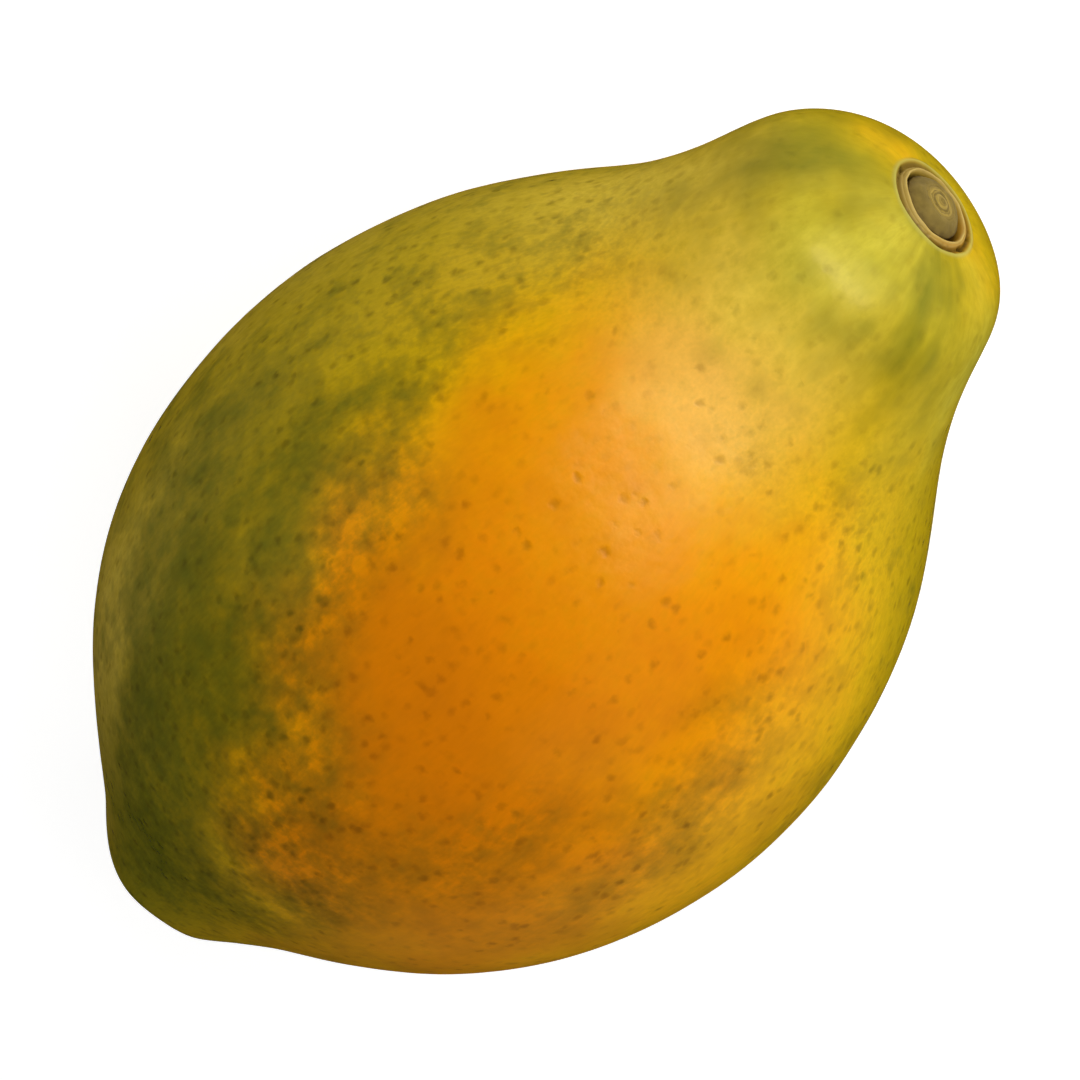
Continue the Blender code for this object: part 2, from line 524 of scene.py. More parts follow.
@dataclass
class FruitBody:
    """The fruit: belly, neck, blossom end and stem scar in one closed mesh."""

    rings: tuple[Ring, ...] = (
        Ring(-75.0, 9.0, 0.0),
        Ring(-73.0, 12.0, 1.0),
        Ring(-67.0, 16.0, 1.0),
        Ring(-56.0, 25.0, 2.0),
        Ring(-41.0, 38.0, 1.5),
        Ring(-22.0, 46.5, 0.5),
        Ring(-2.0, 48.5, 0.0),
        Ring(17.0, 45.0, -0.5),
        Ring(34.0, 37.0, 0.0),
        Ring(49.0, 26.0, 0.5),
        Ring(61.0, 21.0, 2.0),
        Ring(69.5, 18.5, 1.5, 2.0),
        Ring(74.0, 12.5, 0.0, 4.0),
        Ring(75.5, 6.0, 0.0, 6.5),
    )
    carpels: int = 5
    lobe_share: float = 0.004
    lobe_height: float = 0.16
    swells: tuple[Wander, ...] = (
        Wander(0.35, 34.0, 2.0),
        Wander(0.12, 11.0, 9.0),
        Wander(0.015, 3.0, 4.0),
    )
    even_end: tuple[float, float] = (73.0, 66.0)  # the swells fade out between these places, at the stem end
    levels: int = 4
    flat_spot: float = 1.2
    scar: StemScar = field(default_factory=StemScar)
    pucker: Pucker = field(default_factory=Pucker)

    @property
    def segments(self) -> int:
        """How many control points go round: three to each carpel."""
        return 3 * self.carpels

    def cage(self) -> bmesh.types.BMesh:
        """A sphere whose rings and poles are moved to the control rings and their ends."""
        bm = bmesh.new()
        bands = len(self.rings) + 1
        bmesh.ops.create_uvsphere(bm, u_segments=self.segments, v_segments=bands, radius=1.0)
        pole_distance = sin(pi / bands) / 2
        for vert in bm.verts:
            x, y, z = vert.co
            from_axis = Vector((x, y)).length
            if from_axis < pole_distance:
                end = self.rings[0] if z < 0 else self.rings[-1]
                vert.co = Vector((end.along, end.drift, 0.0)) * MM
                continue
            ring = self.rings[round(atan2(from_axis, -z) / pi * bands) - 1]
            vert.co = ring.point(atan2(y, x), self.carpels, self.lobe_share)
        bmesh.ops.recalc_face_normals(bm, faces=bm.faces)
        return bm

    def smoothed(self, cage: bmesh.types.BMesh) -> bmesh.types.BMesh:
        """The cage's smooth surface as a fine mesh; the cage is freed."""
        obj = to_object("cage", cage)
        smoothing = obj.modifiers.new("smoothing", "SUBSURF")
        smoothing.levels = self.levels
        smoothing.render_levels = self.levels
        fine = bmesh.new()
        fine.from_object(obj, bpy.context.evaluated_depsgraph_get())
        mesh = obj.data
        bpy.data.objects.remove(obj, do_unlink=True)
        bpy.data.meshes.remove(mesh)
        return fine

    def scar_frame(self) -> Matrix:
        """The scar's frame in the fruit's: its middle on the end of the axis, its axis leaning towards -Y."""
        end = self.rings[-1]
        turn = Matrix.Rotation(-radians(end.lean), 4, "Z") @ Matrix.Rotation(pi / 2, 4, "Y")
        return Matrix.Translation(Vector((end.along, end.drift, 0.0)) * MM) @ turn

    def open_stem_end(self, bm: bmesh.types.BMesh) -> list[bmesh.types.BMEdge]:
        """Cut the skin away where the scar goes.

        Args:
            bm: The fruit's fine mesh.

        Returns:
            The edges round the opening.
        """
        inward = self.scar_frame().inverted()
        gone = []
        for vert in bm.verts:
            place = inward @ vert.co
            near = place.z > -self.scar.opening_depth * MM
            if near and Vector((place.x, place.y)).length < self.scar.opening * MM:
                gone.append(vert)
        bmesh.ops.delete(bm, geom=gone, context="VERTS")
        return [edge for edge in bm.edges if edge.is_boundary]

    def grow_scar(self, bm: bmesh.types.BMesh) -> None:
        """Grow the scar inwards from the opening, ring by ring, and close its floor."""
        scar = self.scar
        outward = self.scar_frame()
        inward = outward.inverted()
        layers = {mark: bm.verts.layers.float.new(mark.value) for mark in ScarMark}
        edge_ring = self.open_stem_end(bm)
        rim = {vert for edge in edge_ring for vert in edge.verts}
        origin = {}
        for vert in rim:
            place = inward @ vert.co / MM
            origin[vert] = (atan2(place.y, place.x), Vector((place.x, place.y)).length, place.z)
        width = sum(radius for _, radius, _ in origin.values()) / len(origin) - scar.floor_radius
        steps = round(width / scar.ring_step)
        for step in range(1, steps + 1):
            grown = bmesh.ops.extrude_edge_only(bm, edges=edge_ring)["geom"]
            edge_ring = [item for item in grown if isinstance(item, bmesh.types.BMEdge) and item.is_boundary]
            last, origin = origin, {}
            for vert in (item for item in grown if isinstance(item, bmesh.types.BMVert)):
                source = next(other for edge in vert.link_edges if (other := edge.other_vert(vert)) in last)
                angle, start, start_height = origin[vert] = last[source]
                radius = start + (scar.floor_radius - start) * step / steps
                marks = scar.marks(radius, angle)
                skin = start_height * (radius / start) ** 2
                height = skin + scar.height(angle, marks) * smooth_step(start, start - scar.blend, radius)
                vert.co = outward @ (Vector((radius * cos(angle), radius * sin(angle), height)) * MM)
                for mark, layer in layers.items():
                    vert[layer] = marks[mark]
        bmesh.ops.edgeloop_fill(bm, edges=edge_ring)

    def sculpt(self, bm: bmesh.types.BMesh) -> None:
        """Swell and dent the smooth form as a grown fruit is, and pucker the blossom end."""
        bm.normal_update()
        tip = self.rings[0].along
        moves = []
        for vert in bm.verts:
            place = vert.co / MM
            angle = atan2(place.z, place.y)
            lobe = cos(self.carpels * angle)
            swell = sum(wander.at(place) for wander in self.swells) + self.lobe_height * lobe
            swell *= smooth_step(*self.even_end, place.x)
            if place.x < tip + self.pucker.reach:
                swell += self.pucker.height(Vector((place.y, place.z)).length, lobe)
            moves.append(vert.normal * swell * MM)
        for vert, move in zip(bm.verts, moves):
            vert.co += move

    def build(self) -> bmesh.types.BMesh:
        """The whole fruit, in its own frame."""
        bm = self.smoothed(self.cage())
        self.grow_scar(bm)
        bmesh.ops.recalc_face_normals(bm, faces=bm.faces)
        self.sculpt(bm)
        return bm


@dataclass
class StalkEnd:
    """The dried end of the stalk: a low, ringed dome with a nub, on a plug that sits in the scar.

    Heights are along the scar's axis.
    """

    radius: float = 4.15
    top: float = 1.1
    wall_foot: float = -0.45
    slope: tuple[float, float] = (2.6, 4.75)  # the radii between which the top falls to the wall's foot
    base_height: float = -1.9
    turns: int = 120
    section_step: float = 0.08
    plug_shares: tuple[float, ...] = (0.15, 0.4, 0.7, 1.0)  # the plug's rings, as shares of its depth
    terraces: tuple[tuple[float, float], ...] = ((2.0, 0.06), (1.45, 0.09), (0.95, 0.07))
    terrace_edge: float = 0.1
    crease: float = 0.14  # how far outside each terrace its crease is
    crease_width: float = 0.08
    crease_depth: float = 0.05
    nub: float = 0.5
    nub_height: float = 0.16
    seat: tuple[float, float] = (0.14, 0.05)
    roughness: tuple[Wander, ...] = (Wander(0.05, 0.45, 6.0), Wander(0.14, 1.5, 8.0))
    sideways: Wander = Wander(0.22, 0.7, 14.0)
    weathered: tuple[float, float] = (-0.9, 0.2)  # the heights over which weathering sets in
    unrounded: tuple[float, float] = (0.3, 2.4)  # the radii over which the sideways wander sets in

    def height(self, radius: float) -> float:
        """The height of the top and its sloping wall at a radius, before they are weathered."""
        height = self.top + (self.wall_foot - self.top) * smooth_step(*self.slope, radius)
        for edge, step in self.terraces:
            height -= step * smooth_step(edge - self.terrace_edge, edge + self.terrace_edge, radius)
            height -= self.crease_depth * bell(edge + self.crease, self.crease_width, radius)
        return height + self.nub_height * bell(0.0, self.nub, radius)

    def profile(self) -> list[Vector]:
        """The half section from the middle of the top, down the wall to the middle of the base."""
        steps = round(self.radius / self.section_step)
        points = []
        for index in range(steps + 1):
            radius = self.radius * index / steps
            points.append(Vector((radius, 0.0, self.height(radius))))
        drop = points[-1].z - self.base_height
        for share in self.plug_shares:
            points.append(Vector((self.radius, 0.0, points[steps].z - drop * share)))
        points.append(Vector((0.0, 0.0, self.base_height)))
        return points

    def build(self) -> bmesh.types.BMesh:
        """The stalk's end in the scar's frame, turned from its half section and then weathered."""
        bm = bmesh.new()
        verts = [bm.verts.new(point * MM) for point in self.profile()]
        edges = [bm.edges.new(pair) for pair in zip(verts, verts[1:])]
        bmesh.ops.spin(
            bm, geom=[*verts, *edges], axis=(0, 0, 1), cent=(0, 0, 0), angle=2 * pi, steps=self.turns,
            use_merge=True, use_duplicate=False,
        )
        bmesh.ops.remove_doubles(bm, verts=bm.verts, dist=MERGE_DISTANCE)
        bmesh.ops.recalc_face_normals(bm, faces=bm.faces)
        for vert in bm.verts:
            self.weather(vert)
        bmesh.ops.translate(bm, vec=Vector((*self.seat, 0.0)) * MM, verts=bm.verts)
        return bm

    def weather(self, vert: bmesh.types.BMVert) -> None:
        """Move one point as drying and breaking off have left it."""
        place = vert.co / MM
        radius = Vector((place.x, place.y)).length
        angle = atan2(place.y, place.x)
        share = smooth_step(*self.weathered, place.z)
        circle = Vector((cos(angle), sin(angle), 0.0))
        rise = sum(wander.at(place) for wander in self.roughness)
        side = self.sideways.at(circle) * smooth_step(*self.unrounded, radius)
        vert.co += (Vector((0, 0, rise)) + circle * side) * MM * share


def to_object(name: str, bm: bmesh.types.BMesh) -> bpy.types.Object:
    """A smooth-shaded object at the origin that holds this bmesh, which is freed."""
    mesh = bpy.data.meshes.new(name)
    bm.to_mesh(mesh)
    bm.free()
    mesh.shade_smooth()
    obj = bpy.data.objects.new(name, mesh)
    bpy.context.scene.collection.objects.link(obj)
    return obj


# ------------------------------------------------------------------------------------------------- the finish


@dataclass(frozen=True)
class Patch:
    """A soft patch on the skin.

    Attributes:
        along: Its middle's place on the axis.
        around: Its middle's angle from the top towards +Y.
        length: Its half length.
        width: Its half width, as an angle.
        twist: How many degrees round it turns for each millimetre towards the stem.
        amount: What it adds at its middle.
    """

    along: float
    around: float
    length: float
    width: float
    twist: float
    amount: float

    def weight(self, graph: Graph, along: Wire, around: Wire) -> Wire:
        """The patch's amount over the skin.

        Args:
            graph: The material's nodes.
            along: The place on the axis.
            around: The angle from the top, in radians.

        Returns:
            The amount as a shader value.
        """
        tightness = 1.0 / (1.0 - cos(radians(self.width)))
        ahead = along - self.along
        turned = graph.math("COSINE", around - ahead * radians(self.twist) - radians(self.around))
        stretch = ahead / self.length
        power = (turned - 1.0) * tightness - stretch * stretch
        return graph.math("EXPONENT", power) * self.amount


@dataclass(frozen=True)
class Strength:
    """How strongly a detail shows over the skin.

    Attributes:
        ripe: Its strength on plain, ripe skin.
        raw: What raw skin adds.
        freckled: What freckled skin adds.
        neck: What the neck takes away.
        neck_share: The share of the rest that the neck takes away.
    """

    ripe: float
    raw: float
    freckled: float = 0.0
    neck: float = 0.0
    neck_share: float = 0.0


class SkinReading:
    """What a place's colour depends on, as shader values.

    Attributes:
        graph: The material's nodes.
        place: The place from the fruit's origin, in millimetres.
        along: Its distance along the axis, moved a little by noise.
        around: Its angle from the top, moved likewise, in radians.
        neck: From 0 on the belly to 1 on the neck.
        blotch: Broad noise about 0.
        mottle: Fine noise about 0.
        freckled: How freckled it is.
        ripe: How ripe it is.
        green: How green the patches make it.
        raw: From 0 where it is ripe to 1 where it is green or far from ripe.
    """

    def __init__(self, graph: Graph, finish: "SkinFinish", place: Wire) -> None:
        """Read a place.

        Args:
            graph: The material's nodes.
            finish: The skin's finish.
            place: The place from the fruit's origin, in millimetres.
        """
        self.graph = graph
        self.place = place
        x, y, z = (graph.part(place, axis) for axis in "XYZ")
        self.along = x + graph.swing(finish.swirl, place) * finish.swirl_reach
        elsewhere = graph.vector("ADD", place, finish.wobble_shift)
        wobble = graph.swing(finish.wobble, elsewhere) * finish.wobble_reach
        self.around = graph.math("ARCTAN2", y, z) + wobble
        self.neck = graph.ease(*finish.neck, x)
        flow = finish.flow(graph, place, finish.patch_stretch)
        self.blotch = graph.swing(finish.blotch, flow)
        self.mottle = graph.swing(finish.mottle, flow)
        self.freckled = self.total(finish.freckling)
        ripe = self.total(finish.ripening, finish.unripe)
        self.ripe = ripe + self.blotch * finish.ripe_blotch + self.mottle * finish.ripe_mottle
        self.green = self.total(finish.greening)
        unready = graph.ease(*finish.unready, self.ripe) * finish.unready_share
        self.raw = graph.math("MAXIMUM", graph.ease(*finish.greened, self.green), unready)

    def total(self, patches: Sequence[Patch], start: Value = 0.0) -> Wire:
        """A start value plus every patch."""
        for patch in patches:
            start = patch.weight(self.graph, self.along, self.around) + start
        return start

    def strength(self, detail: Strength) -> Wire:
        """How strongly a detail shows here."""
        strength = self.raw * detail.raw + detail.ripe
        if detail.freckled:
            strength = strength + self.freckled * detail.freckled
        if detail.neck:
            strength = strength - self.neck * detail.neck
        if detail.neck_share:
            strength = strength * (1.0 - self.neck * detail.neck_share)
        return strength


@dataclass(frozen=True)
class ScarFinish:
    """The corky scar in the skin, which is browner on its lower side."""

    cork: Cloud = Cloud(1.6, 3.0)
    lower_side: tuple[float, float] = (-0.5, -4.5)  # across the fruit: where it sets in, and where it is full
    collar: Colour = tone(176, 168, 84)
    collar_share: float = 0.7
    face: Colour = tone(146, 120, 44)
    lower_face: Colour = tone(164, 116, 26)
    lower_face_share: float = 0.8
    groove: Colour = tone(108, 84, 26)
    lower_groove: Colour = tone(80, 60, 14)
    groove_share: float = 0.9
    groove_cork: float = 0.8
    ridge: Colour = tone(192, 164, 90)
    ridge_share: float = 0.95
    crack: Colour = tone(62, 46, 6)
    crack_share: float = 0.9
    # painted shade: the socket round the stalk is painted dark as the recess's shadow
    socket: Colour = tone(92, 62, 8)

    def over(self, graph: Graph, place: Wire, colour: Wire) -> Wire:
        """Lay the scar over the skin's colour.

        Args:
            graph: The material's nodes.
            place: The place from the fruit's origin, in millimetres.
            colour: The skin's colour.

        Returns:
            The colour of skin and scar.
        """
        collar, face, groove, ridge, socket, crack = (graph.mark(mark) for mark in ScarMark)
        cork = graph.swing(self.cork, place)
        lower = graph.ease(*self.lower_side, graph.part(place, "Y"))
        face_colour = graph.mixed(lower * self.lower_face_share, self.face, self.lower_face)
        groove_colour = graph.mixed(lower, self.groove, self.lower_groove)
        colour = graph.mixed(collar * self.collar_share, colour, self.collar)
        colour = graph.mixed(face, colour, face_colour)
        colour = graph.mixed(groove * (cork * self.groove_cork + self.groove_share), colour, groove_colour)
        colour = graph.mixed(ridge * (cork + self.ridge_share), colour, self.ridge)
        colour = graph.mixed(crack * self.crack_share, colour, self.crack)
        # painted shade in the socket's recess
        return graph.mixed(socket, colour, self.socket)


@dataclass(frozen=True)
class SkinFinish:
    """The skin: ripeness patches, streaks, flecks and pores.

    Where a pair of numbers is given, something sets in between the first and the second.
    """

    origin: Vector
    scar: ScarFinish = ScarFinish()
    unripe: float = 0.34
    ripening: tuple[Patch, ...] = (
        Patch(2.0, -24.0, 34.0, 42.0, 0.3, 0.49),  # the sunny cheek
        Patch(12.0, 8.0, 24.0, 22.0, 0.6, 0.21),  # its upper side
        Patch(42.0, 18.0, 18.0, 38.0, 0.3, 0.26),  # the shoulder
        Patch(34.0, -43.0, 18.0, 25.0, 0.0, 0.27),  # the cheek's lower side
        Patch(-34.0, -46.0, 20.0, 26.0, 0.0, 0.20),  # its tail
        Patch(14.0, -74.0, 40.0, 18.0, 0.0, 0.10),
        Patch(2.0, 17.0, 14.0, 10.0, 0.4, 0.10),
        Patch(-28.0, -6.0, 14.0, 16.0, 0.0, 0.26),
        Patch(-56.0, -34.0, 14.0, 14.0, 0.0, 0.14),
        Patch(-56.0, 12.0, 24.0, 24.0, 0.0, -0.20),  # the blossom end
        Patch(71.0, 10.0, 6.0, 70.0, 0.0, -0.05),  # the pale end of the neck
        Patch(70.0, 70.0, 7.0, 30.0, 0.0, -0.10),  # the neck
        Patch(70.0, -50.0, 8.0, 36.0, 0.0, -0.08),
        Patch(77.0, -95.0, 5.0, 50.0, 0.0, 0.14),  # the yellow rim by the stem scar
        Patch(78.0, 100.0, 3.5, 30.0, 0.0, 0.18),
        Patch(8.0, 168.0, 34.0, 34.0, 0.3, 0.34),  # the far cheek
    )
    greening: tuple[Patch, ...] = (
        Patch(-22.0, 22.0, 18.0, 14.0, 0.35, 0.66),  # the seam beside the cheek
        Patch(7.0, 36.0, 15.0, 10.0, 0.3, 0.46),
        Patch(-14.0, 13.0, 13.0, 11.0, 0.6, 0.48),
        Patch(-18.0, 38.0, 16.0, 13.0, 0.3, 0.34),
        Patch(8.0, 24.0, 13.0, 10.5, 0.0, 0.40),
        Patch(-4.0, 56.0, 22.0, 16.0, 0.2, 0.30),  # the green cloud over it
        Patch(30.0, 45.0, 15.0, 12.0, 0.4, 0.18),
        Patch(-50.0, 4.0, 20.0, 22.0, 0.0, 0.35),  # the blossom end
        Patch(-34.0, -13.0, 17.0, 13.0, 0.0, 0.36),
        Patch(-11.0, 2.0, 10.0, 10.0, 0.3, 0.20),
        Patch(-4.0, -27.0, 14.0, 8.0, 0.0, 0.20),
        Patch(8.0, -52.0, 28.0, 15.0, -0.2, 0.20),  # the freckled lower side
        Patch(-44.0, -38.0, 14.0, 16.0, 0.0, 0.08),
        Patch(68.0, -32.0, 9.0, 15.0, 0.0, 0.28),  # the blotches of the neck
        Patch(75.5, 12.0, 3.0, 46.0, 0.0, 0.18),
        Patch(66.0, 66.0, 7.0, 16.0, 0.0, 0.42),
        Patch(-14.0, -128.0, 30.0, 15.0, -0.5, 0.45),  # the seams of the far side
        Patch(4.0, 118.0, 28.0, 14.0, 0.4, 0.40),
    )
    # paler skin; the patch along the +Y rim is a painted reflection of the pale surround
    paleness_and_rim_reflection: tuple[Patch, ...] = (
        Patch(61.0, 14.0, 9.0, 42.0, 0.0, 0.62),
        Patch(50.0, 78.0, 14.0, 24.0, 0.0, 0.35),
        Patch(-38.0, 46.0, 26.0, 17.0, 0.0, 0.60),
        # painted reflection along the +Y rim
        Patch(0.0, 92.0, 40.0, 16.0, 0.0, 0.35),
        Patch(52.0, 170.0, 14.0, 40.0, 0.0, 0.35),
    )
    # painted highlight: a pale warm patch on the shoulder, where the sheen light's highlight falls
    painted_sheen: tuple[Patch, ...] = (
        Patch(50.0, 2.0, 7.0, 28.0, 0.0, 0.55),
    )
    # the pale end of the neck and its lower rim: partly pale waxy skin, partly painted sheen
    bloom_and_sheen: tuple[Patch, ...] = (
        Patch(71.0, 6.0, 5.0, 40.0, 0.0, 0.36),
        Patch(64.0, -86.0, 9.0, 20.0, 0.0, 0.40),
    )
    ribs: tuple[Patch, ...] = (
        Patch(66.0, -40.0, 12.0, 30.0, 0.0, 1.2),
        Patch(60.0, 60.0, 12.0, 30.0, 0.0, 0.6),
    )
    freckling: tuple[Patch, ...] = (
        Patch(6.0, -50.0, 30.0, 13.0, -0.1, 0.50),
        Patch(-14.0, -12.0, 18.0, 22.0, 0.0, 0.45),
        Patch(2.0, 16.0, 20.0, 12.0, 0.4, 0.40),
        Patch(48.0, -56.0, 16.0, 22.0, 0.0, 0.30),
        Patch(24.0, 58.0, 26.0, 20.0, 0.0, 0.30),
        Patch(0.0, 170.0, 40.0, 60.0, 0.0, 0.30),
    )
    ripeness_ramp: tuple[tuple[float, Colour], ...] = (
        (0.0, tone(122, 119, 22)),
        (0.20, tone(150, 137, 12)),
        (0.36, tone(180, 152, 5)),
        (0.48, tone(206, 163, 2)),
        (0.60, tone(226, 162, 1)),
        (0.72, tone(228, 146, 1)),
        (0.85, tone(220, 126, 0)),
        (1.0, tone(214, 114, 0)),
    )
    # pale skin, also the colour of the painted rim reflection
    pale: Colour = tone(234, 202, 76)
    # the painted highlight's colour
    painted_sheen_tone: Colour = tone(252, 192, 98)
    # pale waxy green, also the colour of the painted sheen at the neck
    frost_and_sheen_tone: Colour = tone(208, 205, 76)
    green: Colour = tone(72, 86, 19)
    ripe_pore: Colour = tone(118, 58, 2)
    green_pore: Colour = tone(72, 64, 8)
    girth: float = 46.0  # the belly's radius, on which the patterns are laid out
    slimming: tuple[float, float] = (38.0, 62.0)  # along the axis
    slimness: float = 20.0  # how much smaller the neck's radius is
    turning: float = 30.0  # this far from the middle, the skin has turned to face an end
    neck: tuple[float, float] = (44.0, 60.0)  # along the axis
    swirl: Cloud = Cloud(14.0, 3.0)  # moves the patches' edges along the fruit
    swirl_reach: float = 14.0
    wobble: Cloud = Cloud(12.0, 4.0)  # moves them round it
    wobble_reach: float = 0.36  # in radians
    wobble_shift: tuple[float, float, float] = (40.0, 0.0, 0.0)  # keeps it from matching the swirl
    blotch: Cloud = Cloud(8.0, 3.0)
    mottle: Cloud = Cloud(2.4, 4.0, 0.6)
    patch_stretch: float = 1.2
    ripe_blotch: float = 0.10
    ripe_mottle: float = 0.12
    greened: tuple[float, float] = (0.0, 0.35)  # how green skin is that counts as raw
    unready: tuple[float, float] = (0.70, 0.44)  # and how ripe
    unready_share: float = 0.9
    patchiness: float = 1.6
    patchy: Strength = Strength(0.08, 0.85, freckled=0.4, neck_share=0.75)
    streak: Cloud = Cloud(4.6, 1.5)
    streak_stretch: float = 2.4
    neck_cloud: Cloud = Cloud(5.5, 2.0)
    neck_level: float = 0.53  # the neck greens where its cloud is over this
    neck_greening: float = 0.7
    veil_growth: float = -1.6  # the more there is, the less each further bit of green adds
    pore: Spots = Spots(2.8, 0.92)
    pore_strength: Strength = Strength(0.44, 0.06, neck=0.30)
    dash: Spots = Spots(1.9, 0.8)
    dash_squeeze: tuple[float, float, float] = (0.7, 1.0, 1.0)  # makes the dashes longer than wide
    dash_strength: Strength = Strength(0.16, 0.22, freckled=0.7, neck=0.2)
    jitter: Cloud = Cloud(1.1, 2.0)
    jitter_reach: float = 1.1
    fibre: Cloud = Cloud(0.6, 2.0)
    fibre_stretch: float = 3.5
    fibre_strength: Strength = Strength(0.12, 0.24, neck_share=0.6)
    mottle_shade: float = 0.3
    peel: Cloud = Cloud(3.6, 1.0)
    fine_peel: Cloud = Cloud(1.3, 2.0)
    fine_peel_share: float = 0.45
    pore_pit: float = 0.5
    gloss: Gloss = Gloss(roughness=0.25, relief=0.5, relief_height=0.16, specular=0.26)

    def place(self, graph: Graph) -> Wire:
        """Places from the fruit's origin, in millimetres."""
        place = graph.node("TexCoord", {}, {}, "Object")
        return graph.scaled(graph.vector("SUBTRACT", place, self.origin), 1.0 / MM)

    def flow(self, graph: Graph, place: Wire, stretch: float) -> Wire:
        """Places on the skin laid out flat enough for a pattern that runs from end to end.

        Args:
            graph: The material's nodes.
            place: The place from the fruit's origin.
            stretch: How many times longer than wide the pattern is.

        Returns:
            A vector, in about millimetres.
        """
        x, y, z = (graph.part(place, axis) for axis in "XYZ")
        ring = graph.combined(0.0, y, z)
        radius = graph.vector("LENGTH", ring, output="Value")
        half = graph.math("MAXIMUM", graph.math("MINIMUM", x / self.turning, 1.0), -1.0)
        meridian = x - (radius - self.girth) * half
        reach = self.girth - graph.ease(*self.slimming, x) * self.slimness
        spread = graph.scaled(graph.vector("NORMALIZE", ring), reach)
        return graph.vector("ADD", spread, graph.combined(meridian / stretch, 0.0, 0.0))

    def loosened(self, graph: Graph, place: Wire) -> Wire:
        """Places moved a little at random, so that spots aren't round."""
        jitter = graph.noise(self.jitter, place).sibling("Color")
        return graph.vector("ADD", place, graph.scaled(jitter, self.jitter_reach))

    def veil(self, graph: Graph, skin: SkinReading) -> Wire:
        """How much of the ripening colour the green still covers.

        Args:
            graph: The material's nodes.
            skin: What is read at the place.

        Returns:
            The share, which is below 0 where there is no green at all.
        """
        patchy = (skin.blotch + skin.mottle) * self.patchiness * skin.strength(self.patchy)
        streak = graph.swing(self.streak, self.flow(graph, skin.place, self.streak_stretch))
        clouds = (graph.noise(self.neck_cloud, skin.place) - self.neck_level) * skin.neck * self.neck_greening
        green = skin.green + patchy + streak * skin.total(self.ribs) + clouds
        return 1.0 - graph.math("EXPONENT", green * self.veil_growth)

    def colour(self, graph: Graph, place: Wire) -> Wire:
        """The skin's colour away from the scar."""
        skin = SkinReading(graph, self, place)
        uneven = skin.mottle + 1.0
        colour = graph.ramp(skin.ripe, self.ripeness_ramp)
        # pale skin, with a painted reflection along one rim
        colour = graph.mixed(skin.total(self.paleness_and_rim_reflection) * uneven, colour, self.pale)
        # painted highlight on the shoulder
        colour = graph.mixed(skin.total(self.painted_sheen), colour, self.painted_sheen_tone)
        # pale neck end, partly painted sheen
        colour = graph.mixed(skin.total(self.bloom_and_sheen) * uneven, colour, self.frost_and_sheen_tone)
        colour = graph.mixed(self.veil(graph, skin), colour, self.green)
        dark = graph.mixed(skin.raw, self.ripe_pore, self.green_pore)
        loose = self.loosened(graph, place)
        pores = graph.spots(self.pore, loose) * skin.strength(self.pore_strength)
        colour = graph.mixed(pores, colour, dark)
        squeezed = graph.vector("MULTIPLY", loose, self.dash_squeeze)
        dashes = graph.spots(self.dash, squeezed) * skin.strength(self.dash_strength)
        colour = graph.mixed(dashes, colour, dark)
        fibre = graph.swing(self.fibre, self.flow(graph, place, self.fibre_stretch))
        fibre = fibre * skin.strength(self.fibre_strength)
        return graph.shaded(colour, fibre + 1.0 + skin.mottle * self.mottle_shade)

    def relief(self, graph: Graph, place: Wire) -> Wire:
        """The peel's fine relief, with its pores sunk."""
        peel = graph.noise(self.fine_peel, place) * self.fine_peel_share + graph.noise(self.peel, place)
        return peel - graph.spots(self.pore, self.loosened(graph, place)) * self.pore_pit

    def material(self) -> bpy.types.Material:
        """The whole finish."""
        graph = Graph("papaya_skin_paint")
        place = self.place(graph)
        colour = self.scar.over(graph, place, self.colour(graph, place))
        return graph.paint(colour, self.gloss, self.relief(graph, place))


@dataclass(frozen=True)
class CorkFinish:
    """The dried stalk: grey-brown cork in rings. Radii and heights are in the scar's frame."""

    seat: Matrix
    mottle: Cloud = Cloud(1.1, 4.0)
    mottle_shade: float = 0.9
    ring: Cloud = Cloud(0.5, 2.0)
    ring_drift: float = 0.8
    rings: tuple[float, float] = (0.28, 0.72)  # the noise between which a ring turns from dark to light
    dark_ring: Colour = tone(92, 72, 16)
    light_ring: Colour = tone(166, 140, 58)
    wall: Colour = tone(120, 100, 40)
    wall_radii: tuple[float, float] = (2.0, 2.9)
    wall_drift: float = 1.2
    # painted shade: the stalk darkens towards its foot, where it meets the socket
    foot: Colour = tone(74, 54, 8)
    foot_heights: tuple[float, float] = (0.3, -0.8)
    foot_drift: float = 0.5
    gloss: Gloss = Gloss(roughness=0.75, relief=0.8, relief_height=0.15)

    def place(self, graph: Graph) -> tuple[Wire, Wire, Wire]:
        """The parts of a place in the scar's frame, in millimetres."""
        place = graph.node("TexCoord", {}, {}, "Object")
        parts = []
        for *direction, offset in self.seat.inverted()[:3]:
            along = graph.vector("DOT_PRODUCT", place, tuple(direction), output="Value")
            parts.append((along + offset) * (1.0 / MM))
        return tuple(parts)

    def material(self) -> bpy.types.Material:
        """The whole finish."""
        graph = Graph("stalk_cork")
        x, y, height = self.place(graph)
        mottle = graph.swing(self.mottle, graph.combined(x, y, height))
        radius = graph.vector("LENGTH", graph.combined(x, y, 0.0), output="Value")
        rings = graph.noise(self.ring, graph.combined(radius + mottle * self.ring_drift, 0.0, 0.0))
        colour = graph.mixed(graph.ease(*self.rings, rings), self.dark_ring, self.light_ring)
        wall = graph.ease(*self.wall_radii, radius + mottle * self.wall_drift)
        colour = graph.mixed(wall, colour, self.wall)
        # painted shade, darker towards the stalk's foot
        foot = graph.ease(*self.foot_heights, height + mottle * self.foot_drift)
        colour = graph.mixed(foot, colour, self.foot)
        colour = graph.shaded(colour, mottle * self.mottle_shade + 1.0)
        return graph.paint(colour, self.gloss, mottle)


# ------------------------------------------------------------------------------------------------- the studio


